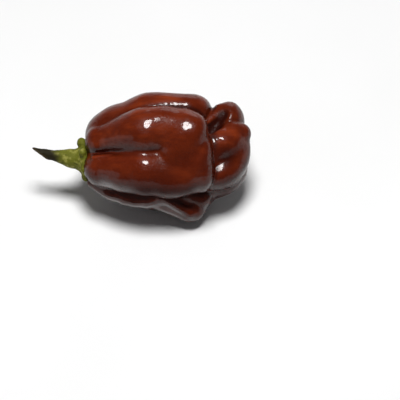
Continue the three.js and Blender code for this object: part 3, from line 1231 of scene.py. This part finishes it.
@dataclass(frozen=True)
class StemSkin(Finish):
    """Dull yellow-green stalk, mottled, turning dark brown towards its dried end."""

    green: Colour = (0.12, 0.125, 0.011, 1.0)
    pale: Colour = (0.33, 0.31, 0.07, 1.0)
    shade: Colour = (0.042, 0.046, 0.005, 1.0)
    dry: Colour = (0.016, 0.012, 0.004, 1.0)
    cut: Colour = (0.06, 0.04, 0.016, 1.0)
    blotches: Mottle = Mottle(0.6, 0.0, 0.45)
    shades: Mottle = Mottle(0.9, 0.05, 0.5)
    shade_share: float = 0.7
    shade_stretch: Triple = (0.25, 1.0, 1.0)
    fray: float = 1.6
    fray_scale: float = 0.6
    dry_run: Span = (-6.0, -9.5)
    cut_share: float = 0.8
    roughness: Span = (0.62, 0.48)
    soft_shine: float = 0.12
    pit_scale: float = 2.2
    pit_depth: float = 0.00008

    def material(self) -> bpy.types.Material:
        """Makes the finish.

        Returns:
            The stem's material.
        """
        material, write, shader, place = self.start(Slot.STEM_GREEN.value)
        blotches = self.blotches.mask(write, place)
        colour = write.mix(blotches, self.green, self.pale)
        drawn_out = write.vector("MULTIPLY", place, self.shade_stretch)
        shaded = write.math("MULTIPLY", self.shades.mask(write, drawn_out), self.shade_share)
        colour = write.mix(shaded, colour, self.shade)
        fray = write.noise(drawn_out, self.fray_scale)
        frayed = write.math("MULTIPLY_ADD", fray, self.fray, self.mark(write, Mark.ALONG))
        colour = write.mix(write.ramp(frayed, *self.dry_run), colour, self.dry)
        cut = write.math("MULTIPLY", self.mark(write, Mark.CUT), self.cut_share)
        inputs = {
            "Base Color": write.mix(cut, colour, self.cut),
            "Roughness": write.ramp(blotches, 0.0, 1.0, *self.roughness),
            "Normal": self.pitted(write, place, self.pit_scale, self.pit_depth),
            "Specular IOR Level": self.soft_shine,
        }
        self.dress(write, shader, inputs)
        return material


@dataclass(frozen=True)
class FloorPaper(Finish):
    """Plain pale paper under the pepper."""

    tone: Colour = (0.84, 0.84, 0.835, 1.0)
    other_tone: Colour = (0.86, 0.86, 0.86, 1.0)
    clouds: Mottle = Mottle(0.01, -0.4, 0.4)
    roughness: float = 0.85
    soft_shine: float = 0.2

    def material(self) -> bpy.types.Material:
        """Makes the finish.

        Returns:
            The floor's material.
        """
        material, write, shader, place = self.start("floor_paper")
        inputs = {
            "Base Color": write.mix(self.clouds.mask(write, place), self.tone, self.other_tone),
            "Roughness": self.roughness,
            "Specular IOR Level": self.soft_shine,
        }
        self.dress(write, shader, inputs)
        return material


@dataclass(frozen=True)
class Lamp:
    """One soft studio lamp, in metres and watts."""

    name: str
    place: Triple
    aim: Triple
    size: float
    power: float

    def hang(self) -> None:
        """Hangs the lamp in its place and turns it to its aim."""
        light = bpy.data.lights.new(self.name, "AREA")
        light.shape = "DISK"
        light.size = self.size
        light.energy = self.power
        lamp = bpy.data.objects.new(self.name, light)
        lamp.location = self.place
        lamp.rotation_euler = (Vector(self.aim) - Vector(self.place)).to_track_quat("-Z", "Y").to_euler()
        bpy.context.scene.collection.objects.link(lamp)


@dataclass
class Studio:
    """The pale floor, the lamps, the surroundings and the camera."""

    floor_side: float = 3.0
    picture_width: float = 0.112
    picture_middle: Triple = (32.2, -13.44, 0.0)
    camera_distance: float = 1.2
    view_depth: float = 20.0
    wall: Colour = (0.42, 0.42, 0.43, 1.0)
    ceiling: Colour = (0.08, 0.08, 0.083, 1.0)
    wall_facing: Triple = (-0.4, 0.9, 0.0)
    wall_height: Span = (0.4, 0.02)
    wall_spread: Span = (-0.3, 0.6)
    lamps: tuple[Lamp, ...] = (
        Lamp("key_lamp", (0.01, -0.05, 0.66), (0.0, 0.0, 0.015), 0.22, 4.8),
        Lamp("left_card", (-0.75, -0.4, 0.07), (0.0, 0.0, 0.01), 0.5, 0.4),
        Lamp("back_lamp", (0.2, 0.9, 0.3), (0.0, 0.0, 0.01), 0.5, 0.8),
    )

    def lay_floor(self) -> None:
        """Lays the floor that the pepper lies on."""
        half = self.floor_side / 2.0
        corners = [(-half, -half, 0.0), (half, -half, 0.0), (half, half, 0.0), (-half, half, 0.0)]
        mesh = bpy.data.meshes.new("floor")
        mesh.from_pydata(corners, [], [(0, 1, 2, 3)])
        mesh.materials.append(FloorPaper().material())
        floor = bpy.data.objects.new("floor", mesh)
        bpy.context.scene.collection.objects.link(floor)

    def surround(self) -> None:
        """Sets a pale wall behind the floor, with dark surroundings elsewhere."""
        world = bpy.data.worlds.new("studio")
        world.use_nodes = True
        bpy.context.scene.world = world
        write = Writer(world.node_tree)
        direction = write.add("ShaderNodeTexCoord").outputs["Generated"]
        height = write.split(direction)[2]
        low = write.ramp(height, *self.wall_height)
        near = write.ramp(write.vector("DOT_PRODUCT", direction, self.wall_facing), *self.wall_spread)
        colour = write.mix(write.math("MULTIPLY", low, near), self.ceiling, self.wall)
        write.feed(world.node_tree.nodes["Background"].inputs["Color"], colour)

    def set_camera(self, origin: Vector) -> None:
        """Sets the camera where it sees the pepper as the photograph does.

        Args:
            origin: The pod's own origin in the part's frame.
        """
        camera = bpy.data.cameras.new("camera")
        camera.sensor_fit = "HORIZONTAL"
        camera.angle = 2.0 * math.atan(self.picture_width / 2.0 / self.camera_distance)
        camera.clip_end = self.view_depth
        eye = bpy.data.objects.new("camera", camera)
        roll = Matrix.Rotation(ROLL, 3, "X")
        stand = Vector(self.picture_middle) * MILLIMETRE + Vector((0.0, 0.0, self.camera_distance))
        eye.location = roll @ stand + origin
        eye.rotation_euler = (ROLL, 0.0, 0.0)
        bpy.context.scene.collection.objects.link(eye)
        bpy.context.scene.camera = eye

    def build(self, origin: Vector) -> None:
        """Sets up the whole studio.

        Args:
            origin: The pod's own origin in the part's frame.
        """
        self.lay_floor()
        self.surround()
        for lamp in self.lamps:
            lamp.hang()
            LOG.info("hung %s", lamp.name)
        self.set_camera(origin)
        bpy.context.scene.view_settings.view_transform = "Standard"


def mesh_box(piece: bpy.types.Object) -> tuple[Vector, Vector]:
    """Measures a piece.

    Args:
        piece: The piece.

    Returns:
        Its lowest and highest corners.
    """
    corners = [Vector(corner) for corner in piece.bound_box]
    low = Vector(min(corner[axis] for corner in corners) for axis in range(3))
    high = Vector(max(corner[axis] for corner in corners) for axis in range(3))
    return low, high


def find_origin(pod: bpy.types.Object) -> Vector:
    """Works out where the pod's own origin lies in the part's frame, from the pod's solid.

    Args:
        pod: The pod, about its own origin.

    Returns:
        The move that lays the pod over its solid.
    """
    low, high = mesh_box(pod)
    solid_low, solid_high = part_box(Part.POD.value)
    move = (solid_low + solid_high - low - high) / 2.0
    move.z = solid_low.z - low.z
    return move


def seat(piece: bpy.types.Object, origin: Vector, part: Part) -> None:
    """Lays a piece in its place and lets it stand for its solid.

    Args:
        piece: The piece, about the pod's own origin.
        origin: The pod's own origin in the part's frame.
        part: The solid that it stands for.
    """
    piece.data.transform(Matrix.Translation(origin))
    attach(piece, "root")
    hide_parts(part.value)
    LOG.info("%s: %d points, %d faces", piece.name, len(piece.data.vertices), len(piece.data.polygons))


def main() -> None:
    """Builds the pod, the stem and the studio."""
    logging.basicConfig(level=logging.INFO, format="%(name)s: %(message)s")
    pod, stem = Pod(), Stem()
    pod_rule = pod.rule()
    pod_piece = pod.build(pod_rule, PodSkin().material())
    origin = find_origin(pod_piece)
    seat(pod_piece, origin, Part.POD)
    stem_piece = stem.build(stem.rule(pod_rule), StemSkin().material())
    seat(stem_piece, origin, Part.STEM)
    Studio().build(origin)


if __name__ == "__main__":
    main()
